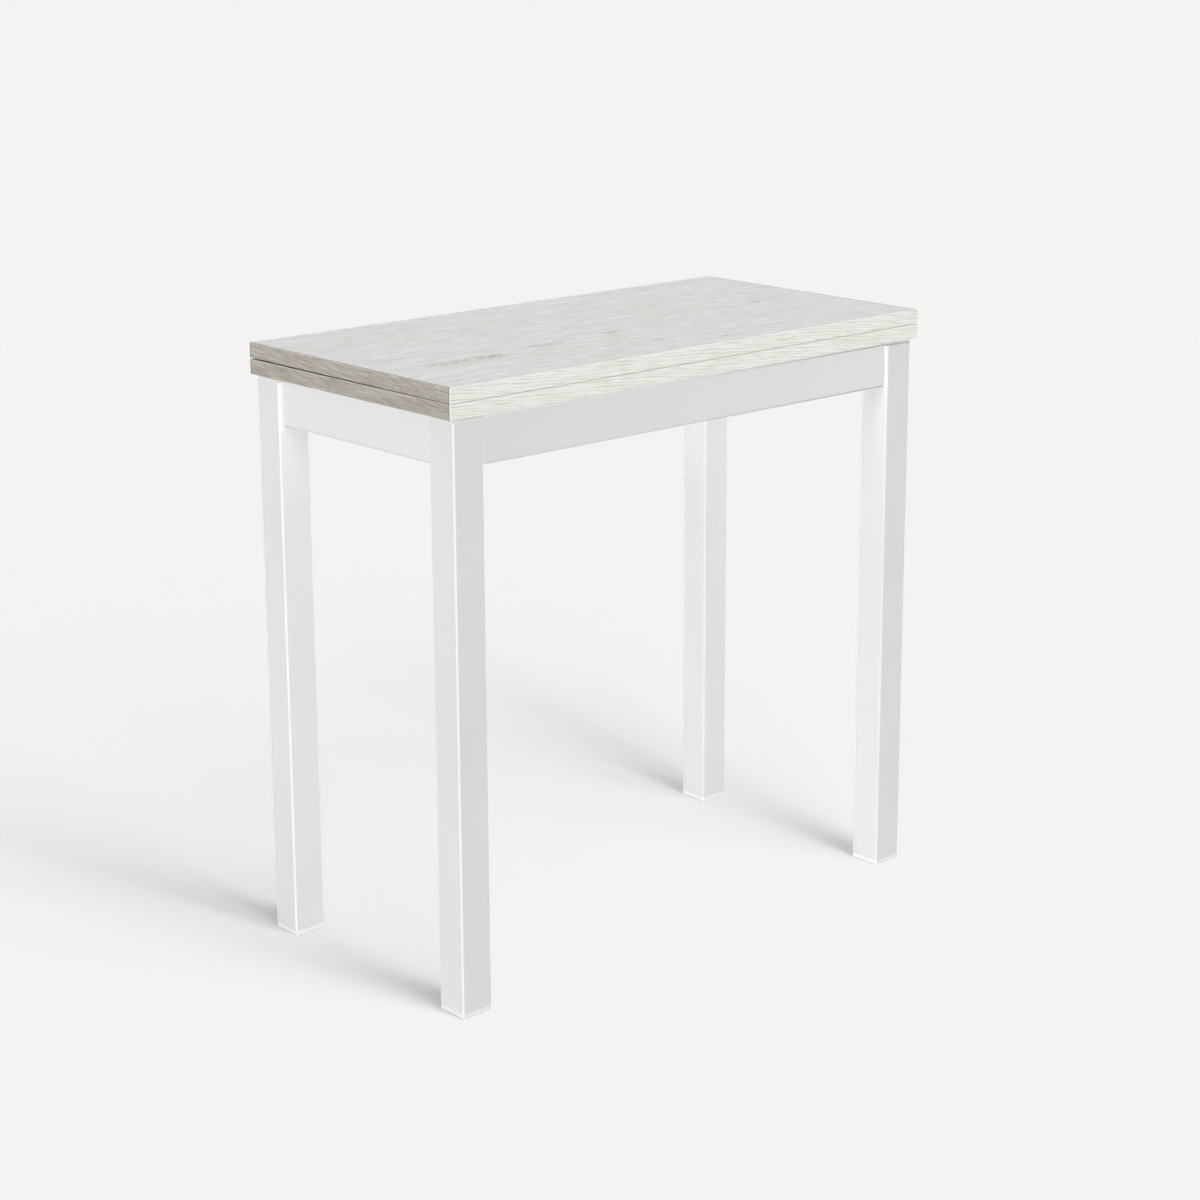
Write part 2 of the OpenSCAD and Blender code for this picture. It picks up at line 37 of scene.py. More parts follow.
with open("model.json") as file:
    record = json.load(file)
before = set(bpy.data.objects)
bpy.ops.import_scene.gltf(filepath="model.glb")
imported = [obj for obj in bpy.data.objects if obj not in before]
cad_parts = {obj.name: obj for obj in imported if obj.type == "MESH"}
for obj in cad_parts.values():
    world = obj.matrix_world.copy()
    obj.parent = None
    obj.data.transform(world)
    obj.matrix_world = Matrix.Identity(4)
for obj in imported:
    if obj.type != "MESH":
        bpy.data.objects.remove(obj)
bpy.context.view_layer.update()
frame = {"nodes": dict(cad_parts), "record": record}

# Every piece of the object, by the body that it rides on
bodies = frame["record"]["behaviour"]["bodies"]
pieces = {body: [frame["nodes"][name] for name in names] for body, names in bodies.items()}

# The photograph's camera
CAMERA_PLACE = (-2.1732, -2.423, 1.3327)
CAMERA_HEADING = 41.99  # degrees from +Y towards +X
CAMERA_TILT = -13.66  # degrees above the horizon
CAMERA_ROLL = -0.23
CAMERA_SENSOR = 36
CAMERA_LENS = 76.52
CAMERA_SHIFT_Y = -0.08
CAMERA_REACH = 150

# A lamp's heading says where shadows fall, in degrees from +Y towards -X. Height and size are in degrees.
# Light is 1 where a surface shows its own colour as written: a level surface of the table gets that
# from the sky and the table's lamp.
Lamp = namedtuple("Lamp", "light heading height size")
SKY_LIGHT = 0.6
TABLE_LAMP = Lamp(1 - SKY_LIGHT, -61, 55, 40)
# Lamps of the floor, by the legs that shade it
FLOOR_LAMPS = {
    "_left_": (Lamp(0.85, 6, 38, 20), Lamp(1.1, -5, 42, 52)),
    "_right_": (Lamp(0.8, -5, 38, 20), Lamp(0.75, 0, 36, 52)),
}
# Level lamps that brighten the legs' inner faces, by the legs that they reach
INNER_LAMPS = {
    "rear_": Lamp(0.22, 0, 0, 30),
    "front_": Lamp(0.22, 180, 0, 30),
    "_right_": Lamp(0.25, -90, 0, 30),
    "_left_": Lamp(0.25, 90, 0, 30),
}

FLOOR_RADIUS = 60
FLOOR_DROP = 0.00005  # below the feet, so that the two surfaces never coincide
FLOOR_CLEAR_REACH = 0.002  # the floor is clear to a ray that started nearer than this


def tone(red, green, blue):
    """Linear colour of a screen colour given from 0 to 255."""
    linear = []
    for value in (red, green, blue):
        share = value / 255
        linear.append(share / 12.92 if share <= 0.04045 else ((share + 0.055) / 1.055) ** 2.4)
    return (*linear, 1)


BACKDROP = tone(244, 243, 241)


class Tree:
    """A node tree, with short ways to add to it."""

    def __init__(self, tree):
        self.tree = tree

    def node(self, kind, inputs=None, **settings):
        """Adds a node of that kind, with these settings and inputs."""
        made = self.tree.nodes.new("ShaderNode" + kind)
        for name, value in settings.items():
            setattr(made, name, value)
        for socket, value in (inputs or {}).items():
            self.feed(made.inputs[socket], value)
        return made

    def feed(self, socket, value):
        """Links the socket to a node's output, or sets a plain value on it."""
        if isinstance(value, bpy.types.NodeSocket):
            self.tree.links.new(value, socket)
        else:
            socket.default_value = value

    def math(self, operation, *values):
        return self.node("Math", dict(enumerate(values)), operation=operation).outputs[0]

    def product(self, first, *others):
        """All of them multiplied together."""
        for other in others:
            first = self.math("MULTIPLY", first, other)
        return first


def cleared_tree(owner):
    """The emptied node tree of a world or a material."""
    owner.use_nodes = True
    owner.node_tree.nodes.clear()
    return Tree(owner.node_tree)


def make_camera():
    camera = bpy.data.objects.new("camera", bpy.data.cameras.new("camera"))
    bpy.context.scene.collection.objects.link(camera)
    camera.location = CAMERA_PLACE
    aim = Euler((math.radians(90 + CAMERA_TILT), 0, math.radians(-CAMERA_HEADING)))
    camera.rotation_mode = "QUATERNION"
    camera.rotation_quaternion = aim.to_quaternion() @ Quaternion((0, 0, 1), math.radians(CAMERA_ROLL))
    camera.data.sensor_width = CAMERA_SENSOR
    camera.data.lens = CAMERA_LENS
    camera.data.shift_y = CAMERA_SHIFT_Y
    camera.data.clip_end = CAMERA_REACH
    camera.data.dof.use_dof = False
    bpy.context.scene.camera = camera
    bpy.context.scene.view_settings.view_transform = "Standard"


def make_world():
    """White light from all round, and the backdrop's colour where the world itself is seen."""
    world = bpy.data.worlds.new("studio")
    bpy.context.scene.world = world
    tree = cleared_tree(world)
    path = tree.node("LightPath").outputs
    looked_at = path["Is Camera Ray"]
    for ray in ("Is Glossy Ray", "Is Transmission Ray"):
        looked_at = tree.math("MAXIMUM", looked_at, path[ray])
    light = tree.node("Background", {"Color": (1, 1, 1, 1), "Strength": SKY_LIGHT})
    seen = tree.node("Background", {"Color": BACKDROP})
    choice = tree.node("MixShader", {0: looked_at, 1: light.outputs[0], 2: seen.outputs[0]})
    tree.node("OutputWorld", {"Surface": choice.outputs[0]})


def make_floor():
    """A wide pale floor in the backdrop's colour. It is clear from below and to light that leaves the
    feet's undersides just over it, so that it hides and darkens no underside."""
    sides = ((-1, -1), (1, -1), (1, 1), (-1, 1))
    corners = [(x * FLOOR_RADIUS, y * FLOOR_RADIUS, -FLOOR_DROP) for x, y in sides]
    mesh = bpy.data.meshes.new("floor")
    mesh.from_pydata(corners, [], [(0, 1, 2, 3)])
    floor = bpy.data.objects.new("floor", mesh)
    bpy.context.scene.collection.objects.link(floor)
    material = bpy.data.materials.new("floor")
    tree = cleared_tree(material)
    light = SKY_LIGHT + sum(lamp.light for lamps in FLOOR_LAMPS.values() for lamp in lamps)
    matt = tree.node("BsdfDiffuse", {"Color": [share / light for share in BACKDROP[:3]] + [1]})
    clear = tree.node("BsdfTransparent")
    near = tree.math("LESS_THAN", tree.node("LightPath").outputs["Ray Length"], FLOOR_CLEAR_REACH)
    either = tree.math("MAXIMUM", tree.node("NewGeometry").outputs["Backfacing"], near)
    choice = tree.node("MixShader", {0: either, 1: matt.outputs[0], 2: clear.outputs[0]})
    tree.node("OutputMaterial", {"Surface": choice.outputs[0]})
    mesh.materials.append(material)
    return floor


def collection(name, members):
    made = bpy.data.collections.new(name)
    for member in members:
        made.objects.link(member)
    return made


def make_sun(name, lamp, lit, shading):
    """A soft far lamp that reaches only the pieces of lit, and only those of shading shade them."""
    light = bpy.data.lights.new(name, "SUN")
    light.energy = math.pi * lamp.light
    light.angle = math.radians(lamp.size)
    sun = bpy.data.objects.new(name, light)
    bpy.context.scene.collection.objects.link(sun)
    sun.rotation_euler = (math.radians(90 - lamp.height), 0, math.radians(lamp.heading))
    sun.light_linking.receiver_collection = collection(name + "_lit", lit)
    sun.light_linking.blocker_collection = collection(name + "_shading", shading)


def on_level(lamp):
    """The lamp, made so strong that a level surface gets its light in spite of the slant."""
    return lamp._replace(light=lamp.light / math.sin(math.radians(lamp.height)))


def make_lights(floor):
    """The floor shows the shadows of the legs alone, and the top puts none on the frame. The lamps that
    only the floor may shade cast no shadow."""
    nodes = frame["nodes"]
    legs = [name for name in nodes if name.endswith(("_leg", "_foot"))]
    above = [piece for body, riders in pieces.items() if body != "frame" for piece in riders]
    for side, lamps in FLOOR_LAMPS.items():
        shading = [nodes[leg] for leg in legs if side in leg]
        for lamp in lamps:
            make_sun(f"floor_lamp{side}{lamp.height}", on_level(lamp), [floor], shading)
    make_sun("frame_lamp", on_level(TABLE_LAMP), pieces["frame"], [floor])
    make_sun("top_lamp", on_level(TABLE_LAMP), above, above)
    for side, lamp in INNER_LAMPS.items():
        lit = [nodes[leg] for leg in legs if side in leg]
        make_sun(f"inner_lamp_{lamp.heading}", lamp, lit, [floor])


class Finish(Tree):
    """One procedural material. Patterns lie in the piece's own coordinates, so they move with it."""

    def __init__(self, name, **values):
        self.material = bpy.data.materials.new(name)
        self.material.use_nodes = True
        super().__init__(self.material.node_tree)
        self.shader = self.tree.nodes["Principled BSDF"]
        coordinates = self.node("TexCoord").outputs
        self.place = coordinates["Object"]
        self.normal = coordinates["Normal"]
        self.shine(**values)

    def shine(self, **inputs):
        """Feeds the shader's inputs, whose names have underscores for spaces here."""
        for socket, value in inputs.items():
            self.feed(self.shader.inputs[socket.replace("_", " ")], value)

    def bump(self, height, depth, strength):
        """Relief of that depth in millimetres."""
        made = self.node("Bump", {"Height": height, "Distance": depth * MM, "Strength": strength})
        self.shine(Normal=made.outputs["Normal"])

    def vector(self, operation, a, b):
        return self.node("VectorMath", {0: a, 1: b}, operation=operation).outputs["Vector"]

    def part(self, vector, axis):
        return self.node("SeparateXYZ", {"Vector": vector}).outputs[axis]

    def at(self, axis):
        """How far along that axis the place lies, in metres."""
        return self.part(self.place, axis)

    def beyond(self, axis, limit):
        """1 where the place lies further than that from the table's middle along the axis."""
        return self.math("GREATER_THAN", self.math("ABSOLUTE", self.at(axis)), limit)

    def facing(self, axis):
        """How far the surface faces along that axis, from -1 to 1."""
        return self.part(self.normal, axis)

    def facing_near(self, axis, middle, spread):
        """1 where the surface faces along that axis by about so much."""
        return self.math("COMPARE", self.facing(axis), middle, spread)

    def upright_corners(self, low, high):
        """1 on the middle of a rounded upright corner, 0 on the flat faces beside it."""
        product = self.product(self.facing("X"), self.facing("Y"))
        return self.ramp(self.math("ABSOLUTE", product), low, high)

    def ramp(self, value, low, high, start=0.0, end=1.0):
        """From start to end as the value goes from low to high."""
        inputs = {"Value": value, "From Min": low, "From Max": high, "To Min": start, "To Max": end}
        return self.node("MapRange", inputs, clamp=True).outputs["Result"]

    def mix(self, share, a, b):
        return self.node("Mix", {0: share, 6: a, 7: b}, data_type="RGBA").outputs[2]

    def stain(self, colour, other, pattern, low, high, share=1.0):
        """The colour, with up to that share of the other over it as the pattern goes from low to high."""
        return self.mix(self.ramp(pattern, low, high, 0.0, share), colour, other)

    def texture(self, sizes, shift, place, **inputs):
        """Noise whose lumps have these sizes in millimetres along X, Y and Z."""
        scale = [1 / (size * MM) for size in sizes]
        spread = self.node("Mapping", {"Vector": place, "Scale": scale, "Location": shift})
        return self.node("TexNoise", {"Vector": spread.outputs[0], "Scale": 1.0, **inputs}).outputs

    def noise(self, sizes, detail, roughness, place=None, seed=0):
        shift = (seed, seed * 2, seed * 3)
        return self.texture(sizes, shift, place or self.place, Detail=detail, Roughness=roughness)["Fac"]

    def waves(self, sizes, push, seed):
        """A push of up to these millimetres, in lumps of these sizes."""
        lumps = self.texture(sizes, (seed, 0, seed), self.place, Detail=2)["Color"]
        centred = self.vector("SUBTRACT", lumps, (0.5, 0.5, 0.5))
        return self.vector("MULTIPLY", centred, [2 * part * MM for part in push])

    def warped(self, place, *waves):
        """The place, pushed about by these waves."""
        for wave in waves:
            place = self.vector("ADD", place, self.waves(*wave))
        return place

    def turned(self, place, degrees):
        """The place, turned about X, Y and Z by these degrees, so that a grain drifts off its edge."""
        angles = [math.radians(angle) for angle in degrees]
        return self.node("Mapping", {"Vector": place, "Rotation": angles}).outputs[0]


# Layers of a grain, each over the ones before: sizes of its lumps in millimetres, detail, roughness and
# seed of its noise, the noise at which it starts and is full, its share, and its colour
TOP_LAYERS = {
    "broad": ((280, 26, 90), 3, 0.55, 0, 0.34, 0.66, 1.0, (209, 208, 204)),
    "grain": ((48, 5, 40), 4, 0.62, 5, 0.46, 0.68, 0.6, (199, 199, 195)),
    "flecks": ((26, 2.8, 40), 3, 0.6, 27, 0.52, 0.66, 0.9, (186, 185, 181)),
    "dashes": ((26, 3, 40), 3, 0.6, 41, 0.62, 0.68, 0.7, (168, 165, 160)),
    "pale": ((32, 3, 40), 3, 0.6, 15, 0.5, 0.66, 0.9, (231, 232, 232)),
    "fibres": ((60, 1.1, 40), 3, 0.6, 33, 0.48, 0.68, 0.5, (199, 199, 196)),
    "pores": ((8, 0.7, 40), 2, 0.5, 8, 0.6, 0.72, 0.5, (180, 178, 173)),
}
LONG_BAND_GROUND = {
    "broad": ((90, 9, 9), 3, 0.55, 0, 0.3, 0.7, 1.0, (248, 249, 243)),
}
LONG_BAND_LAYERS = {
    "grain": ((60, 1.2, 1.2), 3, 0.6, 4, 0.5, 0.62, 0.45, (214, 216, 205)),
    "pores": ((12, 0.6, 0.6), 2, 0.5, 9, 0.6, 0.7, 0.5, (204, 205, 195)),
}
END_BAND_GROUND = {
    "broad": ((10, 70, 8), 3, 0.55, 0, 0.3, 0.7, 1.0, (174, 169, 158)),
    "flames": ((10, 30, 5), 3, 0.55, 6, 0.52, 0.68, 0.6, (176, 156, 146)),
}
END_BAND_LAYERS = {
    "grain": ((1.4, 55, 1.4), 4, 0.62, 3, 0.48, 0.66, 0.7, (134, 126, 114)),
    "pale": ((1.6, 45, 1.6), 3, 0.6, 21, 0.52, 0.68, 0.7, (209, 204, 194)),
    "pores": ((0.7, 9, 0.7), 2, 0.5, 12, 0.6, 0.72, 0.6, (112, 104, 92)),
}
# Broken wavy lines of a band's grain, their sizes in millimetres
LONG_BAND_LINES = {
    "spacing": 3.7,  # along Z
    "wander": 1.3,  # in spacings
    "lumps": (110, 10, 10),  # in which the lines wander
    "seed": 4,
    "edges": (-0.1, 0.9),  # where a line starts and is full, on a wave from -1 to 1
    "gaps": (36, 5, 3.4),  # lumps of the noise that breaks the lines
    "gap_seed": 14,
    "gap_edges": (0.36, 0.56),  # the noise at which a line starts and is full
    "share": 0.68,
    "colour": (206, 208, 197),
}
END_BAND_LINES = {
    "spacing": 2.7,
    "wander": 1.5,
    "lumps": (9, 60, 7),
    "seed": 9,
    "edges": (-1, 1),
    "gaps": (5, 30, 3),
    "gap_seed": 17,
    "gap_edges": (0.34, 0.6),
    "share": 0.7,
    "colour": (132, 124, 112),
}
# Knots and streaks of the top: centre in x and y, half length and half width, in millimetres, strength
TOP_KNOTS = (
    (-295, -90, 92, 15, 0.6),
    (-238, -90, 32, 15, 1),
    (-137, -69, 32, 9, 1),
    (-12, -53, 30, 5, 1),
    (290, 2, 22, 5, 1),
    (242, 40, 14, 4, 0.8),
    (78, -166, 18, 5, 0.8),
    (176, -178, 30, 4, 0.8),
)
TOP_GRAIN_TURN = 2
BAND_GRAIN_TURN = 4.7
SEAM_WIDTH = 0.5
SEAM_SHARE = 0.6
END_SEAM_WIDTH = 1
# Share of the dark tone on the end bands' seams, and on their rims, where it is painted shade of the gap
END_SEAM_AND_SHADE_SHARE = 0.9
CUT_FACES = 0.7  # how far up or down a board's cut face may look
BAND_FACES = (0.4, 0.8)  # how far a long band's plain parts (also a painted arris highlight) and its printed parts face to the front or back
SHADED_BAND_RIMS = (0.8, 0.97)  # how far up or down an end band's rim begins and ends to face, where it is darkened as painted shade of the gap
HIGHLIGHT_ARRIS = (0.5, 0.28)  # how far up a band's upper arris faces where it gets a painted highlight, and its spread
LEAF_SPLIT = 0.4  # height above the lower board at which the upper one's pattern begins
FACE_STEP = (0.23, -0.13, 0.5)  # metres between the patterns of two faces


def layered(finish, place, colour, layers):
    """The colour under these layers, and the noise of each."""
    patterns = {}
    for name, (*noise, seed, start, full, share, other) in layers.items():
        patterns[name] = finish.noise(*noise, place, seed)
        colour = finish.stain(colour, tone(*other), patterns[name], start, full, share)
    return colour, patterns


def lined(
    finish, place, ground, spacing, wander, lumps, seed, edges, gaps, gap_seed, gap_edges, share, colour
):
    """The ground's colour, with broken wavy lines of the other colour over it."""
    turns = finish.math("DIVIDE", finish.part(place, "Z"), spacing * MM)
    drift = finish.product(finish.noise(lumps, 3, 0.6, place, seed), 2 * wander)
    wave = finish.math("SINE", finish.product(finish.math("ADD", turns, drift), 2 * math.pi))
    breaks = finish.ramp(finish.noise(gaps, 3, 0.6, place, gap_seed), *gap_edges)
    strength = finish.product(finish.ramp(wave, *edges), breaks, share)
    return finish.mix(strength, ground, tone(*colour))


def knots(finish, place):
    """The top's knots, each with its own strength at its heart and fading outwards."""
    strongest = 0.0
    for x, y, half_length, half_width, strength in TOP_KNOTS:
        away = finish.vector("SUBTRACT", place, (x * MM, y * MM, 0))
        scaled = finish.vector("MULTIPLY", away, (1 / (half_length * MM), 1 / (half_width * MM), 0))
        length = finish.node("VectorMath", {0: scaled}, operation="LENGTH").outputs["Value"]
        strongest = finish.math("MAXIMUM", strongest, finish.ramp(length, 0.0, 1.0, strength, 0.0))
    return strongest


def own_grain(finish, place):
    """The place, moved elsewhere in the pattern on each of the leaves' four faces."""
    leaf = finish.math("LESS_THAN", finish.at("Z"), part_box("lower_board")[1].z + LEAF_SPLIT * MM)
    face = finish.math("LESS_THAN", finish.facing("Z"), 0.0)
    number = finish.math("ADD", finish.product(leaf, 2.0), face)
    step = finish.node("VectorMath", {0: FACE_STEP, "Scale": number}, operation="SCALE")
    return finish.vector("ADD", place, step.outputs["Vector"])


def seam_and_gap_shade(finish):
    """1 on the thin glue line between a board's face and its edge bands, whose dark tone also paints shade
    into the gap between the leaves.
    """
    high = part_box("lower_board")[1]
    ends = finish.beyond("X", high.x - SEAM_WIDTH * MM)
    return finish.math("MAXIMUM", ends, finish.beyond("Y", high.y - SEAM_WIDTH * MM))


def top_decor():
    """Pale printed wood with faint broken grain along X. Cut faces show the chipboard under it."""
    finish = Finish("top_decor_finish")
    place = finish.warped(finish.place, ((230, 90, 90), (0, 9, 0), 3), ((34, 14, 14), (0, 1.6, 0), 5))
    place = own_grain(finish, finish.turned(place, (0, 0, TOP_GRAIN_TURN)))
    colour, patterns = layered(finish, place, tone(214, 215, 217), TOP_LAYERS)
    hatching = finish.ramp(finish.noise((7, 3, 40), 5, 0.75, place, seed=11), 0.45, 0.55)
    heart = finish.product(knots(finish, place), hatching)
    colour = finish.stain(colour, tone(162, 151, 140), heart, 0.0, 0.5, 0.9)
    # Glue line, whose dark tone is also painted shade in the gap between the leaves
    colour = finish.mix(finish.product(seam_and_gap_shade(finish), SEAM_SHARE), colour, tone(168, 168, 164))
    chips = finish.noise((3, 3, 1.2), 3, 0.7, seed=2)
    core = finish.stain(tone(196, 170, 134), tone(148, 118, 86), chips, 0.35, 0.65)
    finish.shine(Base_Color=finish.mix(finish.facing_near("Z", 0.0, CUT_FACES), colour, core))
    finish.shine(Roughness=finish.ramp(patterns["grain"], 0.3, 0.8, 0.4, 0.52))
    relief = finish.math("SUBTRACT", patterns["fibres"], patterns["pores"])
    finish.bump(relief, depth=0.03, strength=0.5)
    return finish.material


def long_band_decor():
    """Cream white edge band with fine wavy grain along X. Its rims and cut ends are plain white, which also
    paints a highlight on the rounded arrises and the corners.
    """
    finish = Finish("long_band_decor_finish")
    place = finish.warped(finish.place, ((150, 40, 40), (0, 3, 3), 7))
    place = finish.turned(place, (0, -BAND_GRAIN_TURN, 0))
    colour, _ = layered(finish, place, tone(251, 252, 247), LONG_BAND_GROUND)
    colour = lined(finish, place, colour, **LONG_BAND_LINES)
    colour, patterns = layered(finish, place, colour, LONG_BAND_LAYERS)
    plain, printed = BAND_FACES
    sideways = finish.math("ABSOLUTE", finish.facing("Y"))
    # Plain white rims and ends, and a painted highlight on the rounded arrises
    colour = finish.stain(colour, tone(245, 246, 242), sideways, printed, plain)
    finish.shine(Base_Color=colour, Roughness=finish.ramp(patterns["grain"], 0.3, 0.8, 0.4, 0.52))
    relief = finish.math("SUBTRACT", patterns["grain"], patterns["pores"])
    finish.bump(relief, depth=0.04, strength=0.5)
    return finish.material


def end_band_decor():
    """Grey-brown edge band with stronger grain along Y, drifting off the band's edges. Dark seams by the
    long bands, rims darkened as painted shade of the gap between the leaves, and a painted highlight on the
    upper arrises.
    """
    finish = Finish("end_band_decor_finish")
    place = finish.warped(finish.place, ((40, 120, 40), (3, 0, 3), 2))
    place = finish.turned(place, (-BAND_GRAIN_TURN, 0, 0))
    colour, _ = layered(finish, place, tone(190, 186, 176), END_BAND_GROUND)
    colour = lined(finish, place, colour, **END_BAND_LINES)
    colour, patterns = layered(finish, place, colour, END_BAND_LAYERS)
    # Painted highlight on the upper arrises
    colour = finish.mix(finish.facing_near("Z", *HIGHLIGHT_ARRIS), colour, tone(226, 221, 211))
    # Dark seams by the long bands, and rims darkened as painted shade of the gap between the leaves
    rims = finish.ramp(finish.math("ABSOLUTE", finish.facing("Z")), *SHADED_BAND_RIMS)
    seams = finish.beyond("Y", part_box("lower_left_band")[1].y - END_SEAM_WIDTH * MM)
    edges = finish.product(finish.math("MAXIMUM", rims, seams), END_SEAM_AND_SHADE_SHARE)
    colour = finish.mix(edges, colour, tone(50, 45, 40))
    finish.shine(Base_Color=colour, Roughness=finish.ramp(patterns["grain"], 0.3, 0.8, 0.44, 0.58))
    relief = finish.math("SUBTRACT", patterns["grain"], patterns["pores"])
    finish.bump(relief, depth=0.04, strength=0.6)
    return finish.material


UPRIGHT = 0.8  # how far up or down a face may look and still be upright
SHADED_UNDERSIDES = (-0.3, -0.8)  # how far up a face looks where the painted shade of an underside starts and is full
UNDERSIDE_SHADE_SHARE = 0.7
CORNER_HIGHLIGHTS = (0.3, 0.46)  # product of how far a corner faces along X and Y, where its painted highlight starts and is full
RIGHT_CORNER_HIGHLIGHTS = 0.45  # how strong the right legs' painted corner highlights are, against the left ones'
CORNER_HIGHLIGHT_CHANGE = (-0.2, 0.2)  # places in x between which that changes
# Shares of the pale tone of painted light: on the short aprons, at the long ones' left and right ends, and
# up the legs' inner faces, with the heights from and to which it grows there
SHORT_APRON_PAINTED_LIGHT = 0.2
LONG_APRON_PAINTED_LIGHT = (0.06, 0.33)
INNER_FACE_PAINTED_LIGHT = (0.22, 0.42, 0.6)
INNER_TOP_PAINTED_LIGHT = (0.42, 0.58, 0.68)
INNER_FROM = 0.9  # how far out an inner face lies at least, in parts of the aprons' reach
HIGHLIGHT_STRIP_FADE = 0.04  # how far below an apron the painted highlight strip beside it fades out, in metres
SHADE_TONE = tone(150, 150, 148)
SHADE_GROWTH = (-0.1, 0.39)  # places in x between which the frame's thin shade grows to its full strength
UPPER_SHADE = 0.9
LOWER_SHADE = 0.7
GAP_SHADE = 2  # height of the shaded line along the long aprons' upper edges, in millimetres
LOWER_EDGE = (-0.5, 0.35)  # how far down the rounded lower edges' shaded part faces, and its spread


def painted_light_on_frame(finish):
    """How pale painted light makes the frame's faces: a painted highlight on strips beside the aprons, and
    painted light on the aprons and up the legs' inner faces.
    """
    height = finish.at("Z")
    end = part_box("rear_apron")[1].x
    shares = {
        ("right_apron", "X", "Y"): SHORT_APRON_PAINTED_LIGHT,
        ("rear_apron", "Y", "X"): finish.ramp(finish.at("X"), -end, end, *LONG_APRON_PAINTED_LIGHT),
    }
    painted_inner_light = 0.0
    for share, start, full in (INNER_FACE_PAINTED_LIGHT, INNER_TOP_PAINTED_LIGHT):
        painted_inner_light = finish.math("ADD", painted_inner_light, finish.ramp(height, start, full, 0.0, share))
    strongest = 0.0
    for (apron, out, along), share in shares.items():
        low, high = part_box(apron)
        across, reach = "XYZ".index(out), high["XYZ".index(along)]
        outward = finish.product(finish.at(along), finish.facing(along))
        inner = finish.math("LESS_THAN", outward, -INNER_FROM * reach)
        level = finish.math("GREATER_THAN", height, low.z)
        fade = finish.ramp(height, low.z - HIGHLIGHT_STRIP_FADE, low.z)
        highlight_strip = finish.product(finish.beyond(out, high[across]), fade, inner)
        on_it = finish.product(finish.beyond(out, low[across]), level)
        on_it = finish.math("SUBTRACT", on_it, finish.beyond(along, reach))
        # Painted light on the aprons and up the inner faces, and a painted highlight strip beside the
        # aprons
        for pale in (finish.product(on_it, share), finish.product(inner, painted_inner_light), highlight_strip):
            strongest = finish.math("MAXIMUM", strongest, pale)
    return strongest


def thin_shade(finish, low, strength):
    """Shade on upright faces above that height, growing towards the right end."""
    above = finish.math("GREATER_THAN", finish.at("Z"), low)
    growth = finish.ramp(finish.at("X"), *SHADE_GROWTH, 0.0, strength)
    return finish.product(finish.facing_near("Z", 0.0, UPRIGHT), above, growth)


def apron_lines(finish):
    """Shade along the long aprons' upper and lower edges, growing towards the right end."""
    low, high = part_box("rear_apron")
    upper = thin_shade(finish, high.z - GAP_SHADE * MM, UPPER_SHADE)
    under = finish.math("LESS_THAN", finish.at("Z"), (low.z + high.z) / 2)
    edge = finish.product(finish.facing_near("Z", *LOWER_EDGE), under)
    lower = finish.product(edge, thin_shade(finish, low.z, LOWER_SHADE))
    between = finish.math("SUBTRACT", 1.0, finish.beyond("X", high.x))
    return finish.product(finish.math("MAXIMUM", upper, lower), between)


def white_paint():
    """Powder coat: a fine orange-peel skin, painted highlights on round upright corners and beside the
    aprons, painted light on the aprons and up the legs' inner faces, and painted shade on undersides and
    along the long aprons' edges.
    """
    finish = Finish("white_paint_finish")
    clouds = finish.noise((90, 90, 140), 3, 0.5)
    colour = finish.stain(tone(226, 227, 228), tone(223, 224, 224), clouds, 0.3, 0.7)
    # Painted shade on faces that look down
    colour = finish.stain(colour, tone(196, 196, 195), finish.facing("Z"), *SHADED_UNDERSIDES, UNDERSIDE_SHADE_SHARE)
    # Painted highlights on the round upright corners, weaker on the right legs
    share = finish.ramp(finish.at("X"), *CORNER_HIGHLIGHT_CHANGE, 1.0, RIGHT_CORNER_HIGHLIGHTS)
    corners = finish.product(finish.upright_corners(*CORNER_HIGHLIGHTS), share)
    # Painted highlights and painted light on the frame, in a near-white tone
    colour = finish.mix(finish.math("MAXIMUM", corners, painted_light_on_frame(finish)), colour, tone(250, 250, 250))
    finish.shine(Base_Color=finish.mix(apron_lines(finish), colour, SHADE_TONE))
    peel = finish.noise((1.4, 1.4, 1.4), 2, 0.5, seed=3)
    finish.shine(Roughness=finish.ramp(peel, 0.3, 0.7, 0.32, 0.4))
    finish.bump(peel, depth=0.012, strength=0.6)
    return finish.material


def white_plastic():
    """Moulded polythene with a fine spark finish and a few scuffs, whiter at the feet than on top."""
    finish = Finish("white_plastic_finish")
    spark = finish.noise((0.5, 0.5, 0.5), 2, 0.6)
    scuffs = finish.noise((6, 6, 0.9), 4, 0.7, seed=5)
    colour = finish.stain(tone(243, 243, 242), tone(214, 213, 209), scuffs, 0.62, 0.78, 0.5)
    caps = finish.math("GREATER_THAN", finish.at("Z"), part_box("right_apron")[0].z)
    colour = finish.mix(caps, colour, tone(228, 228, 227))
    shade = thin_shade(finish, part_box("rear_apron")[0].z, LOWER_SHADE)
    colour = finish.mix(shade, colour, SHADE_TONE)
    finish.shine(Base_Color=colour, Roughness=finish.ramp(spark, 0.3, 0.7, 0.36, 0.5))
    finish.bump(spark, depth=0.02, strength=0.5)
    return finish.material


def metal(name, light, dark, smoothest, roughest, streaks):
    """Plated steel, its streaks of these sizes in millimetres."""
    finish = Finish(name, Metallic=1.0)
    clouds = finish.noise((7, 7, 7), 4, 0.6)
    finish.shine(Base_Color=finish.stain(light, dark, clouds, 0.3, 0.7))
    brushed = finish.noise(streaks, 3, 0.6, seed=4)
    finish.shine(Roughness=finish.ramp(brushed, 0.3, 0.7, smoothest, roughest))
    finish.bump(brushed, depth=0.01, strength=0.5)
    return finish.material


